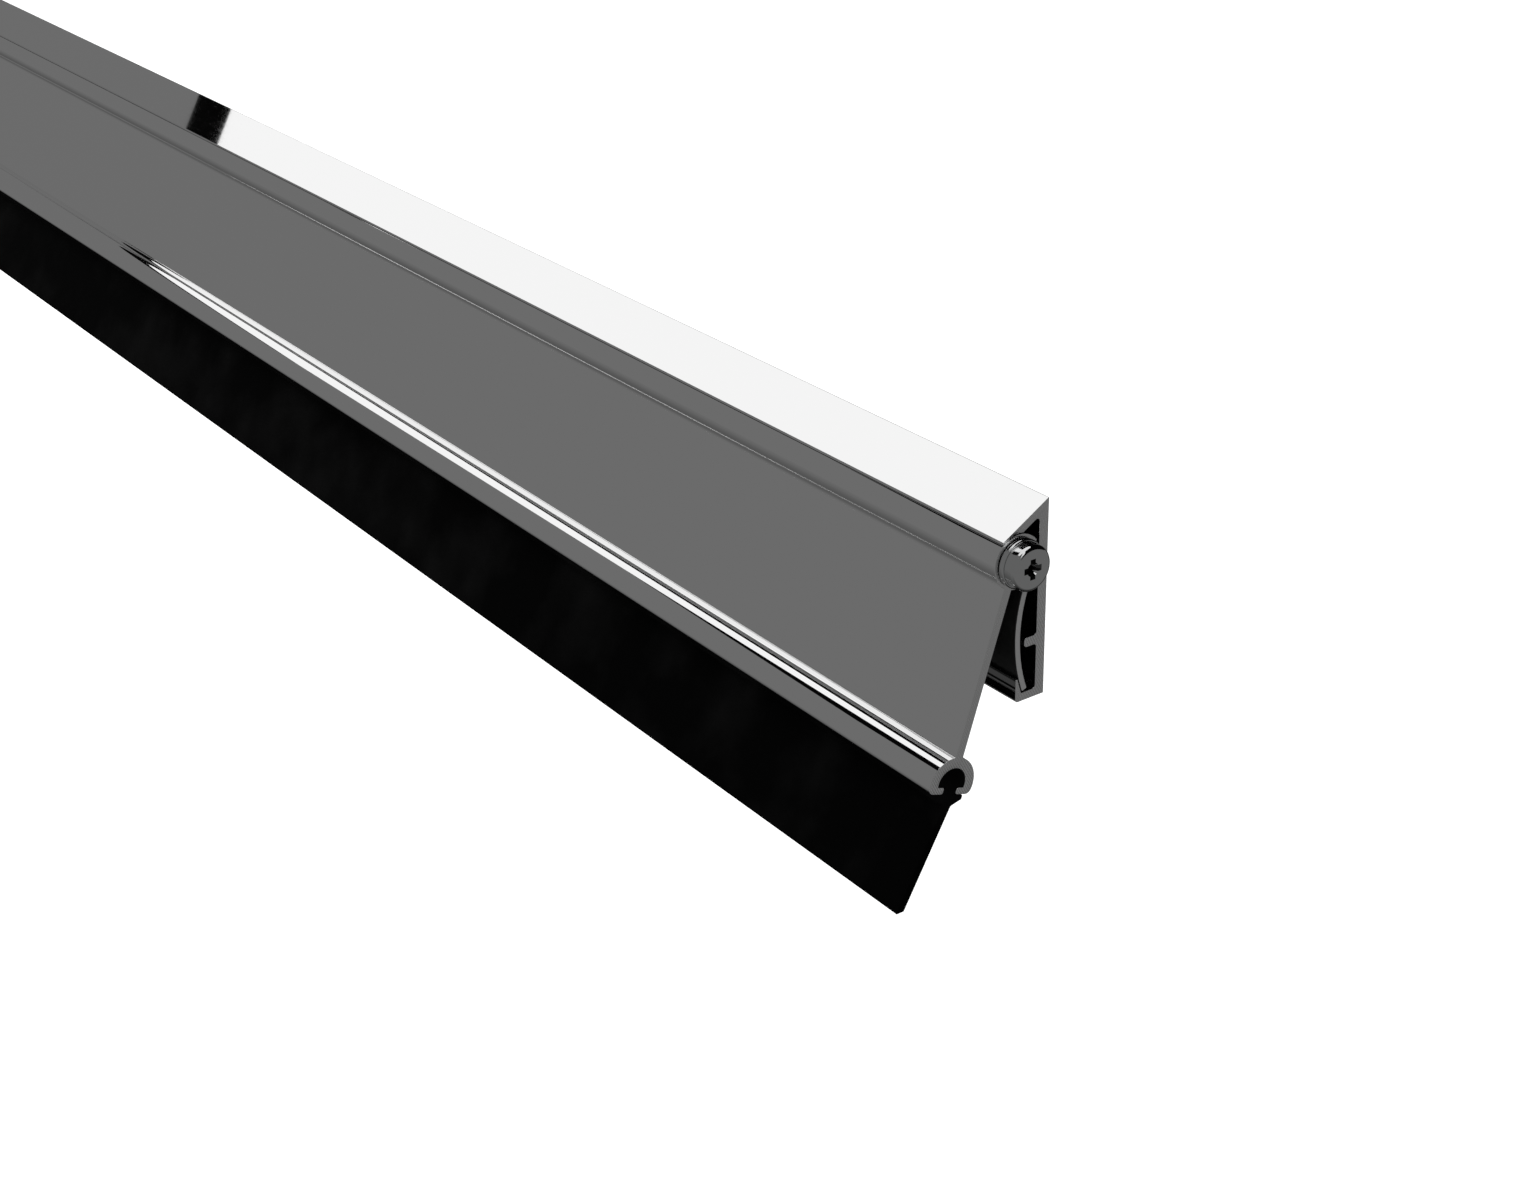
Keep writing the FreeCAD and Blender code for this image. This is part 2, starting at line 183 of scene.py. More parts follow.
class FlapSizes(bpy.types.PropertyGroup):
    """Section of the swinging flap: knuckle, web and groove."""

    length: size("Length", "Length of the flap", length_mm("flap_profile"))
    tilt: turn("Rest tilt", "How far the raised flap swings out from upright", 19.1)
    clearance: size("Hinge clearance", "Gap between bead and knuckle", 0.15)
    wall: size("Knuckle wall", "Thickness of the knuckle", 1.0)
    lip_gap: size("Lip gap", "Gap between the knuckle and the drip lip", 0.2)
    stop_gap: size("Stop gap", "Gap between the knuckle's upper edge and the plate at rest", 0.2)
    lower_edge: turn("Lower edge", "Angle of the knuckle's lower edge from the back", -80.0)
    thickness: size("Web thickness", "Thickness of the flap's web", 1.15)
    offset: size("Web offset", "How far the web's middle lies in front of the hinge axis", 0.36)
    drop: size("Groove drop", "Distance from the hinge axis to the groove's centre", 26.9)
    knuckle_root: size("Knuckle root", "Radius where the web meets the knuckle", 0.02)
    groove_root: size("Groove root", "Radius where the web meets the groove", 0.3)
    groove_radius: size("Groove radius", "Inner radius of the groove", 2.0)
    groove_wall: size("Groove wall", "Thickness of the groove's wall", 1.3)
    ledge_drop: size("Ledge drop", "How far the hooks' ledges lie below the groove's centre", 0.4)
    hook: size("Hook thickness", "Thickness of the hooks under the groove", 0.85)
    mouth: size("Mouth", "Width of the groove's mouth", 1.96)
    corner: size("Groove corner", "Radius of the groove's lower outer corners", 0.8)
    hook_tip: size("Hook tip", "Radius on the tips of the hooks", 0.3)


class BladeSizes(bpy.types.PropertyGroup):
    """Section of the rubber wiper blade."""

    length: size("Length", "Length of the blade", length_mm("wiper_blade"))
    clearance: size("Clearance", "Gap between the blade's head and the groove", 0.08)
    neck_play: size("Neck play", "Gap on each side of the neck in the groove's mouth", 0.1)
    flange_width: size("Flange width", "Width of the flange under the hooks", 4.4)
    flange_edge: size("Flange edge", "Thickness of the flange at its edges", 0.55)
    flange_depth: size("Flange depth", "Depth of the flange where the blade starts", 1.4)
    thickness: size("Thickness", "Thickness of the blade", 1.05)
    root_offset: size("Root offset", "How far the blade starts behind the web's middle", 0.45)
    splay: turn("Splay", "How much further than the flap the blade leans out", 11.3)
    tip_height: size("Tip height", "Height of the blade's tip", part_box("wiper_blade")[0].z / MM)


class LeafSizes(bpy.types.PropertyGroup):
    """Section of the leaf spring."""

    length: size("Length", "Length of the leaf", length_mm("leaf_spring"))
    thickness: size("Thickness", "Thickness of the leaf", 0.85)
    seat_reach: size("Seat reach", "Distance of the leaf's foot from the back", 3.3)
    bow: size("Bow", "How far the leaf bows out between its foot and the knuckle", 1.17)
    knuckle_gap: size("Knuckle gap", "Gap between the leaf and the knuckle's lower edge", 0.2)
    overlap: size("Overlap", "How far the leaf rises past the knuckle's lower edge", 0.5)
    seat_clearance: size("Seat clearance", "Gap between the leaf and the foot's channel", 0.1)


class ScrewSizes(bpy.types.PropertyGroup):
    """Hinge screws and washers at the two ends."""

    head_radius: size("Head radius", "Radius of the screw's head", 2.8)
    head_height: size("Head height", "Height of the screw's head", 1.7)
    head_edge: size("Head edge", "Height of the straight edge of the head", 1.1)
    face_radius: size("Face radius", "Radius of the flat on top of the head", 2.2)
    shank_radius: size("Shank radius", "Radius of the shank", 1.15)
    shank_length: size("Shank length", "Length of the shank in the bead", 12.0)
    tip_length: size("Tip length", "Length of the shank's point", 2.0)
    tip_radius: size("Tip radius", "Radius of the shank's end", 0.4)
    recess_span: size("Recess span", "Span of the cross recess at the face", 2.5)
    recess_floor_span: size("Recess floor span", "Span of the cross recess at its floor", 1.1)
    recess_width: size("Recess width", "Width of the recess's arms", 0.75)
    recess_depth: size("Recess depth", "Depth of the cross recess", 1.0)
    washer_radius: size("Washer radius", "Outer radius of the washer", 3.0)
    washer_hole: size("Washer hole", "Radius of the washer's hole", 1.3)
    washer_thickness: size("Washer thickness", "Thickness of the washer", 0.7)
    recess_cone: size("Recess cone", "Radius of the recess's round middle at the face", 0.85)
    recess_cone_floor: size("Recess cone floor", "Radius of the recess's round middle at its floor", 0.45)
    recess_cone_depth: size("Recess cone depth", "Depth of the recess's round middle", 0.8)
    edge: size("Edge", "Radius under the edge of the head", 0.12)
    washer_edge: size("Washer edge", "Radius on the washer's rims", 0.22)


class EdgeSizes(bpy.types.PropertyGroup):
    """Small edge radii that the die, the saw and the knife leave."""

    die: size("Die radius", "Radius on the long edges of the aluminium and the ends of the leaf", 0.08)
    lip: size("Lip edge", "Radius on the front edges of the drip lip", 0.04)
    leaf: size("Leaf edge", "Radius on the long edges of the leaf spring", 0.16)
    sawn: size("Sawn edge", "Deburred radius on the sawn ends of the aluminium", 0.03)
    rubber: size("Rubber edge", "Radius on the long edges of the rubber", 0.15)
    rubber_root: size("Rubber root", "Radius where the blade meets its flange", 0.3)
    rubber_head: size("Rubber head", "Radius on the lower edges of the blade's head", 0.075)
    rubber_end: size("Rubber end", "Radius on the cut ends of the rubber", 0.05)


class FinishColours(bpy.types.PropertyGroup):
    """Colours of the finishes."""

    aluminium: colour("Aluminium", "Bright aluminium", "#F4F4F4")
    sawn: colour("Sawn aluminium", "Sawn ends of the extrusions", "#EBEBEB")
    steel: colour("Steel", "Zinc plated steel", "#D9DADA")
    # painted shade: the recess steel is darker than the head's so that the cross reads as a shaded hollow
    recess: colour("Recess", "Steel in the screws' recesses", "#5A5A5A")
    # painted shade: the drawn faces are darker than the acetal is, for the shaded gap where the leaf lies
    acetal: colour("Acetal", "Drawn faces of the spring strip", "#0F0F0F")
    acetal_end: colour("Acetal end", "Sawn ends of the spring strip", "#666666")
    rubber: colour("Rubber", "Black rubber", "#010101")
    rubber_bloom: colour("Rubber bloom", "Paler blotches on the rubber", "#070707")


class StageLook(bpy.types.PropertyGroup):
    """Floor, light, reflection tent and camera."""

    floor_colour: colour("Floor", "Pale floor", "#FFFFFF")
    tent_colour: colour("Tent", "Grey cloth of the reflection tent", "#707070")
    # this black also paints the tent's rear as shade
    frame_and_painted_shade_colour: colour("Window frame", "Black frame of the tent's windows", "#050505")
    floor_height: size("Floor height", "Height of the floor", -350.0)
    tent_radius: size("Tent radius", "Radius of the reflection tent", 20000.0)
    fill: bpy.props.FloatProperty(name="Fill", description="Even light from all around", default=0.95)
    lamp_power: bpy.props.FloatProperty(
        name="Lamp power", description="Power of the overhead lamp", default=60.0, unit="POWER"
    )


SETTING_GROUPS = {
    "carrier": CarrierSizes,
    "flap": FlapSizes,
    "blade": BladeSizes,
    "leaf": LeafSizes,
    "screw": ScrewSizes,
    "edge": EdgeSizes,
    "colours": FinishColours,
    "stage": StageLook,
}


class SealSettings(bpy.types.PropertyGroup):
    """All sizes and colours of the seal."""

    carrier: bpy.props.PointerProperty(type=CarrierSizes, name="Carrier", description="Carrier rail")
    flap: bpy.props.PointerProperty(type=FlapSizes, name="Flap", description="Swinging flap")
    blade: bpy.props.PointerProperty(type=BladeSizes, name="Blade", description="Wiper blade")
    leaf: bpy.props.PointerProperty(type=LeafSizes, name="Leaf", description="Leaf spring")
    screw: bpy.props.PointerProperty(type=ScrewSizes, name="Screws", description="Screws and washers")
    edge: bpy.props.PointerProperty(type=EdgeSizes, name="Edges", description="Edge radii")
    colours: bpy.props.PointerProperty(type=FinishColours, name="Colours", description="Finishes")
    stage: bpy.props.PointerProperty(type=StageLook, name="Stage", description="Floor and light")


# Outlines of the sections: a point is (reach in front of the mounting face, height)


def arc(center, radius, start_deg, end_deg, step_deg=ARC_STEP_DEG):
    """Points along an arc; 0 degrees looks to the front, 90 looks up."""
    steps = max(1, math.ceil(abs(end_deg - start_deg) / step_deg))
    angles = [math.radians(start_deg + (end_deg - start_deg) * place / steps) for place in range(steps + 1)]
    return [center + Vector((math.cos(angle), math.sin(angle))) * radius for angle in angles]


def direction_deg(vector):
    """Angle of a direction in the section, in degrees."""
    return math.degrees(math.atan2(vector.y, vector.x))


def fillet(before, corner, after, radius):
    """Points that round the corner between two straight sides."""
    to_before = (before - corner).normalized()
    to_after = (after - corner).normalized()
    half = to_before.angle(to_after) / 2
    setback = radius / math.tan(half)
    center = corner + (to_before + to_after).normalized() * (radius / math.sin(half))
    start_deg = direction_deg(corner + to_before * setback - center)
    sweep_deg = direction_deg(corner + to_after * setback - center) - start_deg
    sweep_deg = (sweep_deg + 180) % 360 - 180
    return arc(center, radius, start_deg, start_deg + sweep_deg, CORNER_STEP_DEG)


def rounded(corners):
    """A closed outline from (point, radius) pairs; a radius of 0 leaves a point as it is."""
    outline = []
    for place, (corner, radius) in enumerate(corners):
        before = corners[place - 1][0]
        after = corners[(place + 1) % len(corners)][0]
        outline += fillet(before, corner, after, radius) if radius else [corner]
    return outline


def smooth(points, first=0.0, last=0.0):
    """Pairs for rounded() along an arc, with corner radii at its two ends."""
    radii = [first] + [0.0] * (len(points) - 2) + [last]
    return list(zip(points, radii))


def chord(radius, offset):
    """Half of the chord of a circle at a distance from its centre."""
    return math.sqrt(radius**2 - offset**2)


def hinge_center(settings):
    """The hinge axis as a point of the section."""
    return Vector((settings.carrier.hinge_reach, settings.carrier.hinge_height))


def knuckle_radii(settings):
    """Inner and outer radius of the flap's knuckle."""
    inner = settings.carrier.bead_radius + settings.flap.clearance
    return inner, inner + settings.flap.wall


def leaf_arc(settings):
    """Centre and radius of the leaf's outer face, and the heights of its foot and its top."""
    leaf, hinge = settings.leaf, hinge_center(settings)
    lower_edge = settings.flap.lower_edge
    outer = knuckle_radii(settings)[1]
    knuckle_edge = hinge + Vector((-math.cos(lower_edge), math.sin(lower_edge))) * outer
    foot = Vector((leaf.seat_reach, settings.carrier.foot_floor + leaf.seat_clearance))
    span = knuckle_edge - Vector((leaf.knuckle_gap, 0.0)) - foot
    radius = span.length_squared / (8 * leaf.bow) + leaf.bow / 2
    inward = Vector((-span.y, span.x)).normalized()
    center = foot + span / 2 + inward * (radius - leaf.bow)
    return center, radius, foot.y, knuckle_edge.y + leaf.overlap


def carrier_loops(settings):
    """The rail's section: the outline from its lower back corner round the front, and the screw port."""
    rail, die = settings.carrier, settings.edge.die
    hinge = hinge_center(settings)
    slope = rail.lip_slope
    along_lip = Vector((math.cos(slope), -math.sin(slope)))
    above_lip = Vector((math.sin(slope), math.cos(slope)))
    room = knuckle_radii(settings)[1] + settings.flap.lip_gap
    lip_top = hinge.y + (room + rail.lip_edge + hinge.x * math.sin(slope)) / math.cos(slope)
    lip_bottom = lip_top - rail.lip_thickness / math.cos(slope)
    lip_distance = (Vector((0.0, lip_bottom)) - hinge).dot(above_lip)
    room_start = above_lip * lip_distance - along_lip * chord(room, lip_distance)
    lip_tip = Vector((rail.lip_reach, lip_top - rail.lip_reach * math.tan(slope)))
    room_end = Vector((lip_tip.x - hinge.x, chord(room, lip_tip.x - hinge.x)))
    room_arc = arc(hinge, room, direction_deg(room_start), direction_deg(room_end))

    leaf_center, leaf_radius, leaf_foot, _ = leaf_arc(settings)
    channel = [
        leaf_center.x + chord(leaf_radius, height - leaf_center.y) + settings.leaf.seat_clearance
        for height in (leaf_foot, rail.foot_lip)
    ]
    rib_low = rail.rib_height - rail.rib_thickness / 2
    rib_high = rail.rib_height + rail.rib_thickness / 2
    rib_tip = rail.plate + rail.rib_reach
    neck_low = -rail.neck_drop - rail.neck_thickness / 2
    neck_high = neck_low + rail.neck_thickness
    bead_arc = arc(
        hinge,
        rail.bead_radius,
        180 - math.degrees(math.asin(neck_low / rail.bead_radius)),
        540 - math.degrees(math.asin(neck_high / rail.bead_radius)),
    )
    corners = [
        (Vector((0.0, 0.0)), die),
        (Vector((rail.foot_reach, 0.0)), rail.foot_corner),
        (Vector((rail.foot_reach, rail.foot_lip)), die),
        (Vector((channel[1], rail.foot_lip)), die),
        (Vector((channel[0], rail.foot_floor)), die),
        (Vector((rail.plate, rail.foot_floor)), rail.fillet),
        (Vector((rail.plate, rib_low)), rail.fillet),
        (Vector((rib_tip, rib_low)), rail.fillet),
        (Vector((rib_tip, rib_high)), rail.fillet),
        (Vector((rail.plate, rib_high)), rail.fillet),
        (Vector((rail.plate, hinge.y + neck_low)), rail.fillet),
        *smooth(bead_arc, die, die),
        (Vector((rail.plate, hinge.y + neck_high)), rail.fillet),
        (Vector((rail.plate, lip_bottom - rail.plate * math.tan(slope))), rail.fillet),
        *smooth(room_arc, last=settings.edge.lip),
        (lip_tip, settings.edge.lip),
        (Vector((0.0, lip_top)), die),
    ]
    port = arc(hinge, rail.port_radius, 360, 0)[1:]
    return [rounded(corners), port]


def web_root(center, radius, face, side, up, fillet_radius):
    """Rounding where a face of the web meets a round stretch: the angle on the circle, and the points.

    face is the web face's distance from the circle's centre, side is 1 in front and -1 behind,
    and up is 1 on top of the circle and -1 under it. The points run from the circle to the web.
    """
    across = face + side * fillet_radius
    toward = Vector((across, up * chord(radius + fillet_radius, across)))
    circle_deg = direction_deg(toward)
    start_deg = circle_deg + 180
    sweep_deg = ((180 if side > 0 else 0) - start_deg + 180) % 360 - 180
    points = arc(center + toward, fillet_radius, start_deg, start_deg + sweep_deg, CORNER_STEP_DEG)
    return circle_deg, points


def swung(settings, points):
    """Points drawn from the hinge axis with the flap hanging straight down, at the flap's rest tilt."""
    turned = Matrix.Rotation(settings.flap.tilt, 2)
    return [hinge_center(settings) + turned @ point for point in points]


def without_repeats(corners):
    """The same corners, with each point that two arcs share kept once."""
    kept = []
    for place, corner in enumerate(corners):
        if (corner[0] - corners[place - 1][0]).length > SAME_PLACE:
            kept.append(corner)
    return kept


def flap_loops(settings):
    """The flap's section: groove, web and knuckle in one outline, drawn hanging and then swung out."""
    flap, die = settings.flap, settings.edge.die
    hinge = Vector((0.0, 0.0))
    groove = Vector((flap.offset, -flap.drop))
    inner, outer = knuckle_radii(settings)
    stop = (settings.carrier.hinge_reach - settings.carrier.plate - flap.stop_gap) / outer
    upper_deg = 540 - math.degrees(math.acos(stop) + flap.tilt)
    lower_deg = 180 - math.degrees(flap.lower_edge + flap.tilt)
    half_web = flap.thickness / 2
    front, back = flap.offset + half_web, flap.offset - half_web
    knuckle_front_deg, knuckle_front = web_root(hinge, outer, front, 1, -1, flap.knuckle_root)
    knuckle_back_deg, knuckle_back = web_root(hinge, outer, back, -1, -1, flap.knuckle_root)
    groove_outer = flap.groove_radius + flap.groove_wall
    groove_front_deg, groove_front = web_root(groove, groove_outer, half_web, 1, 1, flap.groove_root)
    groove_back_deg, groove_back = web_root(groove, groove_outer, -half_web, -1, 1, flap.groove_root)

    ledge = -flap.ledge_drop
    bottom = ledge - flap.hook
    half_mouth = flap.mouth / 2
    ledge_deg = math.degrees(math.asin(ledge / flap.groove_radius))
    corner_height = bottom + flap.corner
    corner_out = chord(groove_outer - flap.corner, corner_height)
    corner_deg = math.degrees(math.atan2(corner_height, corner_out))
    groove_arc = arc(groove, flap.groove_radius, 180 - ledge_deg, ledge_deg)
    hook_corners = [
        *[(groove + Vector((-half_mouth, height)), flap.hook_tip) for height in (bottom, ledge)],
        *smooth(groove_arc, die, die),
        *[(groove + Vector((half_mouth, height)), flap.hook_tip) for height in (ledge, bottom)],
    ]
    corners = [
        *smooth(arc(hinge, outer, knuckle_front_deg + 360, upper_deg), last=die),
        *smooth(arc(hinge, inner, upper_deg, lower_deg), die, die),
        *smooth(arc(hinge, outer, lower_deg, knuckle_back_deg + 360), die),
        *smooth(knuckle_back),
        *smooth(groove_back[::-1]),
        *smooth(arc(groove, groove_outer, groove_back_deg, 180 - corner_deg)),
        *smooth(arc(groove + Vector((-corner_out, corner_height)), flap.corner, 180 - corner_deg, 270)),
        *hook_corners,
        *smooth(arc(groove + Vector((corner_out, corner_height)), flap.corner, 270, 360 + corner_deg)),
        *smooth(arc(groove, groove_outer, corner_deg, groove_front_deg)),
        *smooth(groove_front),
        *smooth(knuckle_front[::-1]),
    ]
    return [swung(settings, rounded(without_repeats(corners)))]


def blade_loops(settings):
    """The blade's section: the strip, the flange under the hooks, and neck and head in the groove."""
    flap, blade = settings.flap, settings.blade
    edge, root = settings.edge.rubber, settings.edge.rubber_root
    groove = Vector((flap.offset, -flap.drop))
    head_radius = flap.groove_radius - blade.clearance
    head_bottom = blade.clearance - flap.ledge_drop
    head_deg = math.degrees(math.asin(head_bottom / head_radius))
    flange_top = -(flap.ledge_drop + flap.hook + blade.clearance)
    flange_low = flange_top - blade.flange_edge
    half_neck = flap.mouth / 2 - blade.neck_play
    half_flange = blade.flange_width / 2
    half_strip = blade.thickness / 2
    root_height = flange_top - blade.flange_depth
    down = Vector((math.sin(blade.splay), -math.cos(blade.splay)))
    front = Vector((math.cos(blade.splay), math.sin(blade.splay)))
    start = Vector((-blade.root_offset, flange_low))
    far = blade.flange_width  # long enough for the lines to cross
    front_root = intersect_line_line_2d(
        start + front * half_strip,
        start + front * half_strip + down * far,
        Vector((half_flange, flange_low)),
        Vector((half_strip - blade.root_offset, root_height)),
    )
    back_root = intersect_line_line_2d(
        start - front * half_strip,
        start - front * half_strip + down * far,
        Vector((-far, root_height)),
        Vector((far, root_height)),
    )
    head_arc = arc(Vector((0.0, 0.0)), head_radius, head_deg, 180 - head_deg)
    upper = [
        (front_root, root),
        (Vector((half_flange, flange_low)), edge),
        (Vector((half_flange, flange_top)), edge),
        (Vector((half_neck, flange_top)), edge),
        (Vector((half_neck, head_bottom)), edge),
        *smooth(head_arc, settings.edge.rubber_head, settings.edge.rubber_head),
        (Vector((-half_neck, head_bottom)), edge),
        (Vector((-half_neck, flange_top)), edge),
        (Vector((-half_flange, flange_top)), edge),
        (Vector((-half_flange, flange_low)), edge),
        (back_root, root),
    ]
    places = swung(settings, [groove + point for point, _ in upper])
    lean = flap.tilt + blade.splay
    tips = [
        Vector((place.x + (place.y - blade.tip_height) * math.tan(lean), blade.tip_height))
        for place in (places[-1], places[0])
    ]
    corners = [*zip(places, [radius for _, radius in upper]), *[(tip, edge) for tip in tips]]
    return [rounded(corners)]


def leaf_loops(settings):
    """The leaf's section: two arcs and two rounded ends."""
    center, radius, foot, top = leaf_arc(settings)
    angles = [math.degrees(math.asin((height - center.y) / radius)) for height in (foot, top)]
    step_deg = (angles[1] - angles[0]) / LEAF_STEPS
    outside = arc(center, radius, *angles, step_deg)
    inside = arc(center, radius - settings.leaf.thickness, *angles[::-1], step_deg)
    edge = settings.edge.leaf
    return [rounded([*smooth(outside, edge, edge), *smooth(inside, edge, edge)])]


# Meshes


def inset(loop, depth):
    """A loop moved into the material, which lies on its left."""
    moved = []
    for place, point in enumerate(loop):
        arriving = (point - loop[place - 1]).normalized()
        leaving = (loop[(place + 1) % len(loop)] - point).normalized()
        normals = [Vector((-side.y, side.x)) for side in (arriving, leaving)]
        miter = (normals[0] + normals[1]) / (1 + normals[0].dot(normals[1]))
        moved.append(point + miter * depth)
    return moved


def extruded(name, loops, length, end_edge, materials):
    """A mesh object whose section is drawn out along the seal; its end faces take the last material."""
    turns = [math.radians(90 * step / END_EDGE_STEPS) for step in range(END_EDGE_STEPS + 1)]
    stations = [
        (length / 2 - end_edge * (1 - math.sin(angle)), end_edge * (1 - math.cos(angle))) for angle in turns
    ]
    stations = [(-x, depth) for x, depth in reversed(stations)] + stations
    shape = bmesh.new()
    end_edges = {0: [], -1: []}
    for loop in loops:
        rings = []
        for x, depth in stations:
            rings.append([shape.verts.new((x, -point.x, point.y)) for point in inset(loop, depth)])
        for ring, next_ring in zip(rings, rings[1:]):
            for place in range(len(loop)):
                shape.faces.new((ring[place - 1], ring[place], next_ring[place], next_ring[place - 1]))
        for end, edges in end_edges.items():
            end_ring = rings[end]
            edges += [shape.edges.get((end_ring[place - 1], end_ring[place])) for place in range(len(loop))]
    for edges in end_edges.values():
        filled = bmesh.ops.triangle_fill(shape, edges=edges, use_beauty=True)
        for face in filled["geom"]:
            if isinstance(face, bmesh.types.BMFace):
                face.material_index = len(materials) - 1
    return mesh_object(name, shape, materials)


def lathed(name, profile, axis_point, materials=()):
    """A mesh object turned about an axis along the seal, from (distance along the axis, radius) points."""
    shape = bmesh.new()
    verts = [shape.verts.new(axis_point + Vector((along, 0.0, radius))) for along, radius in profile]
    edges = [shape.edges.new(pair) for pair in zip(verts, verts[1:])]
    bmesh.ops.spin(
        shape,
        geom=verts + edges,
        cent=axis_point,
        axis=(1.0, 0.0, 0.0),
        angle=2 * math.pi,
        steps=TURNED_STEPS,
        use_merge=True,
    )
    bmesh.ops.remove_doubles(shape, verts=shape.verts, dist=SAME_PLACE)
    return mesh_object(name, shape, materials)


def mesh_object(name, shape, materials=()):
    """An object in the scene from a bmesh, with its faces turned outwards and its materials on it."""
    bmesh.ops.recalc_face_normals(shape, faces=shape.faces)
    mesh = bpy.data.meshes.new(name)
    shape.to_mesh(mesh)
    shape.free()
    for material in materials:
        mesh.materials.append(material)
    piece = bpy.data.objects.new(name, mesh)
    bpy.context.scene.collection.objects.link(piece)
    return piece


def cut(piece, cutters):
    """Cut shapes out of a piece, and remove the cutters."""
    for cutter in cutters:
        boolean = piece.modifiers.new("cut", "BOOLEAN")
        boolean.operation = "DIFFERENCE"
        boolean.solver = "EXACT"
        boolean.object = cutter
    depsgraph = bpy.context.evaluated_depsgraph_get()
    finished = bpy.data.meshes.new_from_object(piece.evaluated_get(depsgraph))
    piece.modifiers.clear()
    uncut = piece.data
    piece.data = finished
    bpy.data.meshes.remove(uncut)
    finished.name = piece.name
    for cutter in cutters:
        bpy.data.meshes.remove(cutter.data)


def dress(piece):
    """Give a piece shading that keeps its flats flat and its round stretches smooth."""
    piece.data.shade_smooth()
    piece.data.set_sharp_from_angle(angle=math.radians(SHARP_ANGLE_DEG))
    weighted = piece.modifiers.new("flat faces", "WEIGHTED_NORMAL")
    weighted.weight = FLAT_FACE_WEIGHT
    weighted.keep_sharp = True


# Materials


def add_node(tree, kind, options=None, **inputs):
    """Add a node, set its options, and set its inputs: a socket is linked, anything else is a value."""
    node = tree.nodes.new(kind)
    for name, value in (options or {}).items():
        setattr(node, name, value)
    for name, value in inputs.items():
        socket = node.inputs[name.replace("_", " ")]
        if isinstance(value, bpy.types.NodeSocket):
            tree.links.new(value, socket)
        else:
            socket.default_value = value
    return node


def new_material(name):
    """An empty material, and its node tree."""
    material = bpy.data.materials.new(name)
    material.use_nodes = True
    material.node_tree.nodes.clear()
    return material, material.node_tree


def streaks(tree, along_mm, across_mm):
    """A noise drawn out along the seal, as an extrusion die leaves it."""
    place = add_node(tree, "ShaderNodeTexCoord").outputs["Object"]
    spread = (1 / (along_mm * MM), 1 / (across_mm * MM), 1 / (across_mm * MM))
    drawn = add_node(tree, "ShaderNodeMapping", Vector=place, Scale=spread).outputs["Vector"]
    noise = add_node(tree, "ShaderNodeTexNoise", Vector=drawn, Scale=1.0, Detail=2.0)
    return noise.outputs["Fac"]


def bright_aluminium(settings):
    """Aluminium, extruded, polished and bright anodised.

    The eye sees a mirror whose reflections blur a little along fine lines that the die has left. The real
    lines are too fine to show, so these are drawn coarser.
    """
    material, tree = new_material("Bright anodised extruded aluminium")
    lines = streaks(tree, along_mm=300.0, across_mm=0.35)
    roughness = add_node(tree, "ShaderNodeMapRange", Value=lines, To_Min=0.005, To_Max=0.025)
    shader = add_node(
        tree,
        "ShaderNodeBsdfPrincipled",
        Base_Color=(*settings.colours.aluminium, 1.0),
        Metallic=1.0,
        Roughness=roughness.outputs["Result"],
    )
    add_node(tree, "ShaderNodeOutputMaterial", Surface=shader.outputs["BSDF"])
    return material


def sawn_aluminium(settings):
    """Aluminium, cut across with a circular saw and deburred.

    The eye sees a flat grey face, duller than the rail, with faint curved lines from the saw's teeth, drawn
    as coarse as they need to be to show. The saw's middle lies in front of the seal and above it.
    """
    material, tree = new_material("Sawn aluminium")
    saw_front_mm, saw_above_mm = 150.0, 50.0
    tooth_mark_mm, mark_depth_mm = 0.25, 0.002
    place = add_node(tree, "ShaderNodeTexCoord").outputs["Object"]
    centred = add_node(
        tree, "ShaderNodeMapping", Vector=place, Location=(0.0, saw_front_mm * MM, -saw_above_mm * MM)
    )
    marks = add_node(
        tree,
        "ShaderNodeTexWave",
        {"wave_type": "RINGS", "rings_direction": "X"},
        Vector=centred.outputs["Vector"],
        Scale=WAVE_LENGTH / (tooth_mark_mm * MM),
        Distortion=1.0,
        Detail=2.0,
    ).outputs["Fac"]
    roughness = add_node(tree, "ShaderNodeMapRange", Value=marks, To_Min=0.2, To_Max=0.3)
    relief = add_node(tree, "ShaderNodeBump", Height=marks, Strength=1.0, Distance=mark_depth_mm * MM)
    shader = add_node(
        tree,
        "ShaderNodeBsdfPrincipled",
        Base_Color=(*settings.colours.sawn, 1.0),
        Metallic=1.0,
        Roughness=roughness.outputs["Result"],
        Normal=relief.outputs["Normal"],
    )
    add_node(tree, "ShaderNodeOutputMaterial", Surface=shader.outputs["BSDF"])
    return material


def zinc_steel(settings):
    """Steel, cold headed and bright zinc plated.

    The eye sees a shiny, slightly uneven metal that is a little darker than the aluminium.
    """
    material, tree = new_material("Bright zinc plated steel")
    place = add_node(tree, "ShaderNodeTexCoord").outputs["Object"]
    grain_mm = 0.5
    grain = add_node(tree, "ShaderNodeTexNoise", Vector=place, Scale=1 / (grain_mm * MM), Detail=3.0)
    roughness = add_node(tree, "ShaderNodeMapRange", Value=grain.outputs["Fac"], To_Min=0.04, To_Max=0.08)
    shader = add_node(
        tree,
        "ShaderNodeBsdfPrincipled",
        Base_Color=(*settings.colours.steel, 1.0),
        Metallic=1.0,
        Roughness=roughness.outputs["Result"],
    )
    add_node(tree, "ShaderNodeOutputMaterial", Surface=shader.outputs["BSDF"])
    return material


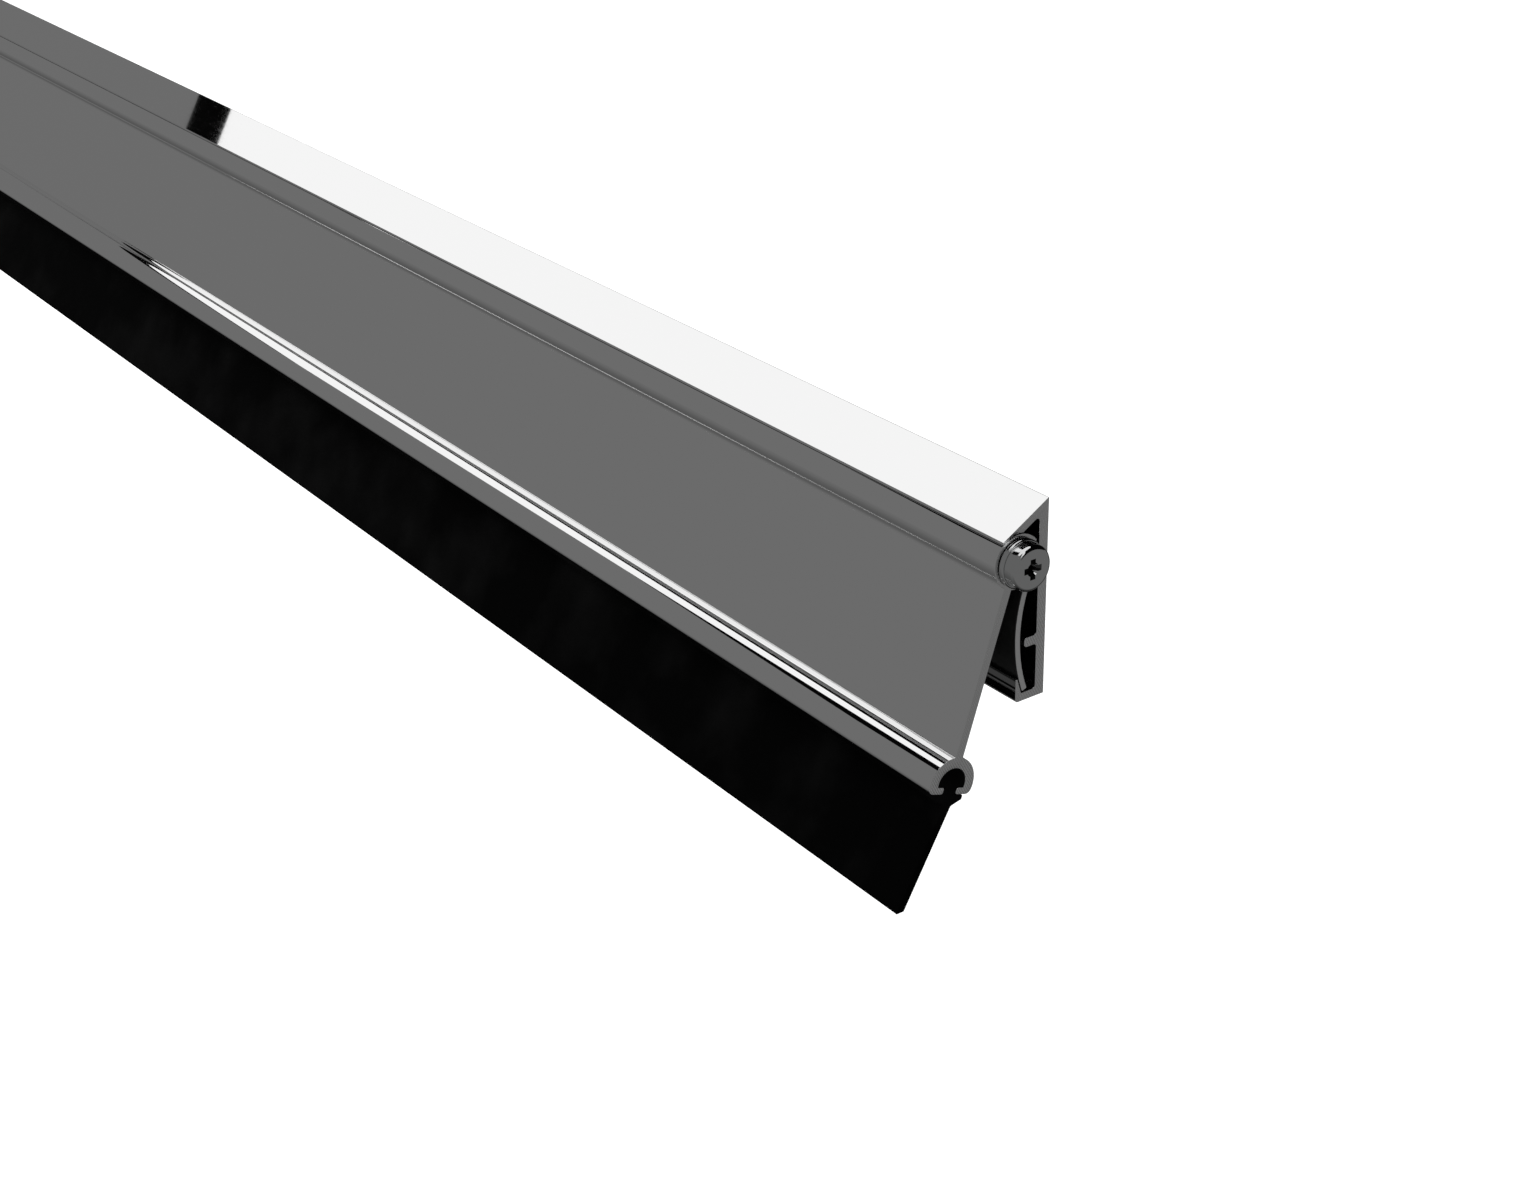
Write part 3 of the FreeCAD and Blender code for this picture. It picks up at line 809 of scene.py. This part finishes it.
def dark_acetal_with_painted_shade(settings):
    """Acetal, extruded in a stiff spring grade.

    The eye sees an even dark grey with a soft sheen and faint lines along the strip, drawn coarser than the
    die leaves them so that they show. The grey is darkened towards black as painted shade, for the shaded
    gap behind the flap where the strip lies.
    """
    material, tree = new_material("Extruded dark grey acetal with painted shade")
    lines = streaks(tree, along_mm=200.0, across_mm=0.4)
    roughness = add_node(tree, "ShaderNodeMapRange", Value=lines, To_Min=0.3, To_Max=0.45)
    shader = add_node(
        tree,
        "ShaderNodeBsdfPrincipled",
        Base_Color=(*settings.colours.acetal, 1.0),
        IOR=1.48,
        Roughness=roughness.outputs["Result"],
    )
    add_node(tree, "ShaderNodeOutputMaterial", Surface=shader.outputs["BSDF"])
    return material


def sawn_acetal(settings):
    """Acetal, sawn across.

    The eye sees a matt face, paler than the drawn faces, partly because the cut scatters the light and
    partly because the drawn faces carry painted shade.
    """
    material, tree = new_material("Sawn dark grey acetal")
    place = add_node(tree, "ShaderNodeTexCoord").outputs["Object"]
    mark_mm = 0.2
    marks = add_node(tree, "ShaderNodeTexNoise", Vector=place, Scale=1 / (mark_mm * MM), Detail=2.0)
    roughness = add_node(tree, "ShaderNodeMapRange", Value=marks.outputs["Fac"], To_Min=0.5, To_Max=0.7)
    shader = add_node(
        tree,
        "ShaderNodeBsdfPrincipled",
        Base_Color=(*settings.colours.acetal_end, 1.0),
        IOR=1.48,
        Roughness=roughness.outputs["Result"],
    )
    add_node(tree, "ShaderNodeOutputMaterial", Surface=shader.outputs["BSDF"])
    return material


def recess_steel_painted_shade(settings):
    """Steel in a pressed recess, darkened as painted shade so that the cross reads dark.

    The eye sees a smooth grey metal, darker than the head.
    """
    material, tree = new_material("Recess steel darkened as painted shade")
    shader = add_node(
        tree,
        "ShaderNodeBsdfPrincipled",
        Base_Color=(*settings.colours.recess, 1.0),
        Metallic=1.0,
        Roughness=0.1,
    )
    add_node(tree, "ShaderNodeOutputMaterial", Surface=shader.outputs["BSDF"])
    return material


def black_rubber(settings):
    """EPDM rubber, extruded and cured, filled with carbon black.

    The eye sees a deep matt black with a fine grain and faint paler blotches of bloom. The grain is drawn
    coarser than it is so that it shows.
    """
    material, tree = new_material("Extruded EPDM rubber")
    place = add_node(tree, "ShaderNodeTexCoord").outputs["Object"]
    bloom_mm, grain_mm, grain_depth_mm = 14.0, 0.3, 0.004
    bloom = add_node(tree, "ShaderNodeTexNoise", Vector=place, Scale=1 / (bloom_mm * MM), Detail=4.0)
    patches = add_node(tree, "ShaderNodeMapRange", Value=bloom.outputs["Fac"], From_Min=0.45, From_Max=0.75)
    tint = add_node(tree, "ShaderNodeValToRGB", Fac=patches.outputs["Result"])
    tint.color_ramp.elements[0].color = (*settings.colours.rubber, 1.0)
    tint.color_ramp.elements[1].color = (*settings.colours.rubber_bloom, 1.0)
    grain = add_node(tree, "ShaderNodeTexNoise", Vector=place, Scale=1 / (grain_mm * MM), Detail=2.0)
    roughness = add_node(tree, "ShaderNodeMapRange", Value=bloom.outputs["Fac"], To_Min=0.6, To_Max=0.8)
    relief = add_node(
        tree, "ShaderNodeBump", Height=grain.outputs["Fac"], Strength=1.0, Distance=grain_depth_mm * MM
    )
    shader = add_node(
        tree,
        "ShaderNodeBsdfPrincipled",
        Base_Color=tint.outputs["Color"],
        IOR=1.52,
        Specular_IOR_Level=0.03,
        Roughness=roughness.outputs["Result"],
        Normal=relief.outputs["Normal"],
    )
    add_node(tree, "ShaderNodeOutputMaterial", Surface=shader.outputs["BSDF"])
    return material


def plain_glow(name, tint):
    """A surface of one even brightness, for the reflection tent."""
    material, tree = new_material(name)
    glow = add_node(tree, "ShaderNodeEmission", Color=(*tint, 1.0), Strength=1.0)
    add_node(tree, "ShaderNodeOutputMaterial", Surface=glow.outputs["Emission"])
    return material


def shaded_ground(look):
    """Grey cloth on the ground. The eye sees it darken softly towards the shadow below the seal."""
    material, tree = new_material("Grey groundsheet")
    place = add_node(tree, "ShaderNodeTexCoord").outputs["Object"]
    parts = add_node(tree, "ShaderNodeSeparateXYZ", Vector=place).outputs
    front, back = SHADE_ACROSS[0][0], SHADE_ACROSS[-1][0]
    across = add_node(tree, "ShaderNodeMapRange", Value=parts["Y"], From_Min=front, From_Max=back)
    shade = add_node(tree, "ShaderNodeValToRGB", Fac=across.outputs["Result"])
    stops = shade.color_ramp.elements
    for y, _ in SHADE_ACROSS[1:-1]:
        stops.new((y - front) / (back - front))
    for stop, (_, level) in zip(stops, SHADE_ACROSS):
        stop.color = (level, level, level, 1.0)
    past_end = add_node(
        tree, "ShaderNodeMapRange", Value=parts["X"], From_Min=SHADE_END[0], From_Max=SHADE_END[1]
    )
    lit = add_node(tree, "ShaderNodeMath", {"operation": "MAXIMUM"})
    tree.links.new(shade.outputs["Color"], lit.inputs[0])
    tree.links.new(past_end.outputs["Result"], lit.inputs[1])
    glow = add_node(
        tree, "ShaderNodeEmission", Color=(*look.tent_colour, 1.0), Strength=lit.outputs["Value"]
    )
    add_node(tree, "ShaderNodeOutputMaterial", Surface=glow.outputs["Emission"])
    return material


def seen_directly(tree):
    """1 for rays that show the background: from the camera, off metal and through glass."""
    path = add_node(tree, "ShaderNodeLightPath").outputs
    seen = path["Is Camera Ray"]
    for kind in ("Is Glossy Ray", "Is Transmission Ray"):
        larger = add_node(tree, "ShaderNodeMath", {"operation": "MAXIMUM"})
        tree.links.new(seen, larger.inputs[0])
        tree.links.new(path[kind], larger.inputs[1])
        seen = larger.outputs["Value"]
    return seen


def pale_floor(look):
    """Matt white painted board. The eye sees white, and a soft shadow that a glow makes fainter."""
    material, tree = new_material("Matt white painted board")
    white = (*look.floor_colour, 1.0)
    thin_white = (*[level * (1 - FLOOR_GLOW) for level in look.floor_colour], 1.0)
    paint = add_node(tree, "ShaderNodeBsdfDiffuse", Color=white)
    thin_paint = add_node(tree, "ShaderNodeBsdfDiffuse", Color=thin_white)
    glow = add_node(tree, "ShaderNodeEmission", Color=white, Strength=FLOOR_GLOW)
    lit = add_node(tree, "ShaderNodeAddShader")
    tree.links.new(thin_paint.outputs["BSDF"], lit.inputs[0])
    tree.links.new(glow.outputs["Emission"], lit.inputs[1])
    chosen = add_node(tree, "ShaderNodeMixShader", Fac=seen_directly(tree))
    tree.links.new(paint.outputs["BSDF"], chosen.inputs[1])
    tree.links.new(lit.outputs["Shader"], chosen.inputs[2])
    add_node(tree, "ShaderNodeOutputMaterial", Surface=chosen.outputs["Shader"])
    return material


# Operators


class DOORSEAL_OT_carrier(bpy.types.Operator):
    """Build the carrier rail with its drip lip, foot, rib, hinge bead and fixing holes"""

    bl_idname = "door_seal.carrier"
    bl_label = "Carrier rail"
    bl_options = {"REGISTER", "UNDO"}

    def execute(self, context):
        settings = context.scene.door_seal
        rail = settings.carrier
        finishes = [bright_aluminium(settings), sawn_aluminium(settings)]
        piece = extruded("carrier_rail", carrier_loops(settings), rail.length, settings.edge.sawn, finishes)
        cut(piece, [self.drill(rail, place) for place in self.hole_places()])
        dress(piece)
        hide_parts("carrier_profile")
        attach(piece, "carrier")
        return {"FINISHED"}

    def hole_places(self):
        """Points on the mounting face where the record's bolt patterns put a hole."""
        places = []
        for mount in FIXING_MOUNTS:
            half = Vector((mount["dims"]["spacing_x_mm"] * MM / 2, 0.0, 0.0))
            places += [Vector(mount["pos_m"]) - half, Vector(mount["pos_m"]) + half]
        return places

    def drill(self, rail, place):
        """A drill with a flare at each face of the plate."""
        wide = rail.hole_radius + rail.hole_flare + DRILL_PROUD
        profile = [
            (-DRILL_PROUD, 0.0),
            (-DRILL_PROUD, wide),
            (rail.hole_flare, rail.hole_radius),
            (rail.plate - rail.hole_flare, rail.hole_radius),
            (rail.plate + DRILL_PROUD, wide),
            (rail.plate + DRILL_PROUD, 0.0),
        ]
        tool = lathed("drill", profile, Vector((0.0, 0.0, 0.0)))
        tool.data.transform(Matrix.Translation(place) @ Matrix.Rotation(math.radians(-90), 4, "Z"))
        return tool


class DOORSEAL_OT_flap(bpy.types.Operator):
    """Build the swinging flap with its knuckle, web and groove"""

    bl_idname = "door_seal.flap"
    bl_label = "Flap"
    bl_options = {"REGISTER", "UNDO"}

    def execute(self, context):
        settings = context.scene.door_seal
        length, end_edge = settings.flap.length, settings.edge.sawn
        finishes = [bright_aluminium(settings), sawn_aluminium(settings)]
        piece = extruded("flap", flap_loops(settings), length, end_edge, finishes)
        dress(piece)
        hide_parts("flap_profile")
        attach(piece, "flap")
        return {"FINISHED"}


class DOORSEAL_OT_wiper_blade(bpy.types.Operator):
    """Build the rubber wiper blade in the flap's groove"""

    bl_idname = "door_seal.wiper_blade"
    bl_label = "Wiper blade"
    bl_options = {"REGISTER", "UNDO"}

    def execute(self, context):
        settings = context.scene.door_seal
        length, end_edge = settings.blade.length, settings.edge.rubber_end
        finishes = [black_rubber(settings)]
        piece = extruded("wiper_rubber", blade_loops(settings), length, end_edge, finishes)
        dress(piece)
        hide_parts("wiper_blade")
        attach(piece, "flap")
        return {"FINISHED"}


class DOORSEAL_OT_leaf_spring(bpy.types.Operator):
    """Build the leaf spring, which bends as the flap closes"""

    bl_idname = "door_seal.leaf_spring"
    bl_label = "Leaf spring"
    bl_options = {"REGISTER", "UNDO"}

    def execute(self, context):
        settings = context.scene.door_seal
        length, end_edge = settings.leaf.length, settings.edge.die
        finishes = [dark_acetal_with_painted_shade(settings), sawn_acetal(settings)]
        piece = extruded("spring_leaf", leaf_loops(settings), length, end_edge, finishes)
        dress(piece)
        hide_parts("leaf_spring")
        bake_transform(piece)
        return {"FINISHED"}


class DOORSEAL_OT_screws(bpy.types.Operator):
    """Build the hinge screw and washer at each end"""

    bl_idname = "door_seal.screws"
    bl_label = "Hinge screws"
    bl_options = {"REGISTER", "UNDO"}

    def execute(self, context):
        settings = context.scene.door_seal
        rail, sizes = settings.carrier, settings.screw
        # the recess material carries painted shade, on the arms of the cross
        steel, recess = zinc_steel(settings), recess_steel_painted_shade(settings)
        for name, side in (("right", 1), ("left", -1)):
            end = Vector((side * rail.length / 2, -rail.hinge_reach, rail.hinge_height))
            washer = lathed(f"{name}_washer", self.washer_profile(sizes, side), end, [steel])
            seat = end + Vector((side * sizes.washer_thickness, 0.0, 0.0))
            screw = lathed(f"{name}_screw", self.screw_profile(sizes, side), seat, [steel, recess])
            arms = [self.recess_arm(sizes, seat, side, upright) for upright in (True, False)]
            cut(screw, [*arms, self.recess_middle(sizes, seat, side)])
            for piece, node in ((washer, f"washer_{name}"), (screw, f"hinge_screw_{name}")):
                dress(piece)
                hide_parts(node)
                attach(piece, "carrier")
        return {"FINISHED"}

    def washer_profile(self, screw, side):
        """Half section of the washer, with rounded rims."""
        thick, wide, edge = screw.washer_thickness, screw.washer_radius, screw.washer_edge
        inner_corner = Vector((0.0, screw.washer_hole))
        ring = [
            inner_corner,
            *arc(Vector((edge, wide - edge)), edge, 180, 90, CORNER_STEP_DEG),
            *arc(Vector((thick - edge, wide - edge)), edge, 90, 0, CORNER_STEP_DEG),
            Vector((thick, screw.washer_hole)),
            inner_corner,
        ]
        return [(side * point.x, point.y) for point in ring]

    def screw_profile(self, screw, side):
        """Half section of the screw, from the tip of its shank to the middle of its face."""
        tip = -screw.washer_thickness - screw.shank_length
        rise, run = screw.head_height - screw.head_edge, screw.head_radius - screw.face_radius
        dome = [
            (screw.head_edge + rise * math.sin(angle), screw.face_radius + run * math.cos(angle))
            for angle in [math.radians(90 * step / DOME_STEPS) for step in range(DOME_STEPS + 1)]
        ]
        edge_center = Vector((screw.edge, screw.head_radius - screw.edge))
        under = arc(edge_center, screw.edge, 180, 90, CORNER_STEP_DEG)
        points = [
            (tip, 0.0),
            (tip, screw.tip_radius),
            (tip + screw.tip_length, screw.shank_radius),
            (0.0, screw.shank_radius),
            *[(point.x, point.y) for point in under],
            *dome,
            (screw.head_height, 0.0),
        ]
        return [(side * along, radius) for along, radius in points]

    def recess_middle(self, screw, seat, side):
        """The round middle of the cross recess, a cone that ends above the arms' floor."""
        deep = screw.recess_cone_depth
        taper = (screw.recess_cone - screw.recess_cone_floor) / deep
        floor, mouth = [side * (screw.head_height - depth) for depth in (deep, -RECESS_MIDDLE_PROUD)]
        wide = screw.recess_cone + taper * RECESS_MIDDLE_PROUD
        profile = [(floor, 0.0), (floor, screw.recess_cone_floor), (mouth, wide), (mouth, 0.0)]
        return lathed("recess_middle", profile, seat)

    def recess_arm(self, screw, seat, side, upright):
        """One arm of the cross recess, a wedge that narrows towards its floor."""
        widening = (screw.recess_span - screw.recess_floor_span) / 2 / screw.recess_depth
        shape = bmesh.new()
        rings = []
        for depth in (-RECESS_ARM_PROUD, screw.recess_depth):
            span = screw.recess_span / 2 - widening * depth
            corners = [(span, -1), (span, 1), (-span, 1), (-span, -1)]
            ring = []
            for long, across in corners:
                short = across * screw.recess_width / 2
                offset = (short, long) if upright else (long, short)
                ring.append(shape.verts.new(seat + Vector((side * (screw.head_height - depth), *offset))))
            rings.append(ring)
        mouth, floor = rings
        for place in range(len(mouth)):
            shape.faces.new((mouth[place - 1], mouth[place], floor[place], floor[place - 1]))
        for ring in rings:
            shape.faces.new(ring)
        # the arms take the recess steel, darkened as painted shade
        for face in shape.faces:
            face.material_index = 1
        return mesh_object("recess", shape)


class DOORSEAL_OT_stage(bpy.types.Operator):
    """Set up the floor, the light, the reflection tent and the camera"""

    bl_idname = "door_seal.stage"
    bl_label = "Stage"
    bl_options = {"REGISTER", "UNDO"}

    def execute(self, context):
        settings = context.scene.door_seal
        self.lay_floor(settings.stage)
        self.pitch_tent(settings.stage)
        self.light(settings.stage)
        self.place_camera()
        context.scene.view_settings.view_transform = "Standard"
        return {"FINISHED"}

    def lay_floor(self, look):
        """A wide pale floor under the seal."""
        shape = bmesh.new()
        bmesh.ops.create_grid(shape, x_segments=1, y_segments=1, size=FLOOR_HALF_WIDTH)
        floor = mesh_object("floor", shape, [pale_floor(look)])
        floor.location.z = look.floor_height

    def pitch_tent(self, look):
        """A grey tent that only reflections see, open at the top, with a window to each end of the seal.

        Its rear and the windows' sills and frames are black, and the background's white shows through the
        openings. The rear's black is painted shade, standing in for the door behind the seal and its
        shadow.
        The windows' angles are those that the lip mirrors.
        """
        cloth = plain_glow("Grey tent cloth", look.tent_colour)
        black = plain_glow("Black felt frames and painted shade", look.frame_and_painted_shade_colour)
        sides = [*WINDOW_SIDES_DEG, FRAME_SIDE_DEG]
        sides += [180 - side for side in reversed(sides)]
        sides.append(sides[0] + 360)
        columns = ("window", "frame", "cloth", "frame", "window", "rear")
        shape = bmesh.new()
        for left, right, column in zip(sides, sides[1:], columns):
            for row, heights in TENT_ROWS_DEG.items():
                if column == "window" and row in OPEN_ROWS:
                    continue
                material_index = int(row in BLACK_ROWS[column])
                self.hang_cloth(shape, look.tent_radius, (left, right), heights, material_index)
        bmesh.ops.remove_doubles(shape, verts=shape.verts, dist=MM)
        tent = mesh_object("reflection_tent", shape, [cloth, black])
        sheet = bmesh.new()
        bmesh.ops.create_circle(sheet, cap_ends=True, segments=GROUNDSHEET_STEPS, radius=look.tent_radius)
        groundsheet = mesh_object("tent_groundsheet", sheet, [shaded_ground(look)])
        groundsheet.location.z = look.floor_height + GROUNDSHEET_LIFT
        for piece in (tent, groundsheet):
            piece.visible_camera = False
            piece.visible_diffuse = False
            piece.visible_transmission = False
            piece.visible_shadow = False

    def hang_cloth(self, shape, radius, sides, heights, material_index):
        """One stretch of the tent's wall, between two angles round the seal and two heights."""
        across, upward = [math.ceil((high - low) / TENT_STEP_DEG) for low, high in (sides, heights)]
        rows = []
        for step_up in range(upward + 1):
            height = math.radians(heights[0] + (heights[1] - heights[0]) * step_up / upward)
            row = []
            for step in range(across + 1):
                side = math.radians(sides[0] + (sides[1] - sides[0]) * step / across)
                level = Vector((-math.cos(side), -math.sin(side), 0.0)) * math.cos(height)
                row.append(shape.verts.new((level + Vector((0.0, 0.0, math.sin(height)))) * radius))
            rows.append(row)
        for lower, upper in zip(rows, rows[1:]):
            for step in range(across):
                face = shape.faces.new((lower[step], lower[step + 1], upper[step + 1], upper[step]))
                face.material_index = material_index

    def light(self, look):
        """White background, even fill light, and one soft lamp from above on the left."""
        world = bpy.data.worlds.new("Studio")
        bpy.context.scene.world = world
        world.use_nodes = True
        tree = world.node_tree
        tree.nodes.clear()
        direct = seen_directly(tree)
        strength = add_node(tree, "ShaderNodeMapRange", Value=direct, To_Min=look.fill, To_Max=1.0)
        white = (1.0, 1.0, 1.0, 1.0)
        sky = add_node(tree, "ShaderNodeBackground", Color=white, Strength=strength.outputs["Result"])
        add_node(tree, "ShaderNodeOutputWorld", Surface=sky.outputs["Background"])
        lamp_data = bpy.data.lights.new("soft_lamp", "AREA")
        lamp_data.size = LAMP_SIZE
        lamp_data.energy = look.lamp_power
        lamp = bpy.data.objects.new("soft_lamp", lamp_data)
        lamp.location = LAMP_PLACE
        lamp.rotation_euler = (-LAMP_PLACE).to_track_quat("-Z", "Y").to_euler()
        lamp.visible_glossy = False
        bpy.context.scene.collection.objects.link(lamp)

    def place_camera(self):
        """The photograph's viewpoint: a camera without roll, its frame shifted off the principal point."""
        camera_data = bpy.data.cameras.new("camera")
        camera_data.sensor_width = SENSOR_WIDTH_MM
        camera_data.lens = FOCAL_LENGTH_PX / PHOTO_WIDTH_PX * SENSOR_WIDTH_MM
        camera_data.shift_x = (PHOTO_WIDTH_PX / 2 - PRINCIPAL_POINT_X_PX) / PHOTO_WIDTH_PX
        camera = bpy.data.objects.new("camera", camera_data)
        camera.location = CAMERA_PLACE
        turns_deg = (90 - CAMERA_ELEVATION_DEG, 0.0, CAMERA_AZIMUTH_DEG)
        camera.rotation_euler = [math.radians(angle) for angle in turns_deg]
        bpy.context.scene.collection.objects.link(camera)
        bpy.context.scene.camera = camera


class DOORSEAL_PT_panel(bpy.types.Panel):
    """The seal's operators and sizes in the sidebar"""

    bl_idname = "DOORSEAL_PT_panel"
    bl_label = "Door bottom seal"
    bl_space_type = "VIEW_3D"
    bl_region_type = "UI"
    bl_category = "Door Seal"

    def draw(self, context):
        for operator in OPERATORS:
            self.layout.operator(operator.bl_idname)
        for group in SETTING_GROUPS:
            box = self.layout.box()
            box.label(text=group.title())
            values = getattr(context.scene.door_seal, group)
            for name in values.bl_rna.properties.keys():
                if name not in ("rna_type", "name"):
                    box.prop(values, name)


OPERATORS = (
    DOORSEAL_OT_carrier,
    DOORSEAL_OT_flap,
    DOORSEAL_OT_wiper_blade,
    DOORSEAL_OT_leaf_spring,
    DOORSEAL_OT_screws,
    DOORSEAL_OT_stage,
)
CLASSES = (*SETTING_GROUPS.values(), SealSettings, *OPERATORS, DOORSEAL_PT_panel)


def register():
    for cls in CLASSES:
        bpy.utils.register_class(cls)
    bpy.types.Scene.door_seal = bpy.props.PointerProperty(type=SealSettings)


def unregister():
    del bpy.types.Scene.door_seal
    for cls in reversed(CLASSES):
        bpy.utils.unregister_class(cls)


def main():
    """Build the seal and its stage."""
    register()
    bpy.ops.door_seal.carrier()
    bpy.ops.door_seal.flap()
    bpy.ops.door_seal.wiper_blade()
    bpy.ops.door_seal.leaf_spring()
    bpy.ops.door_seal.screws()
    bpy.ops.door_seal.stage()


if __name__ == "__main__":
    main()
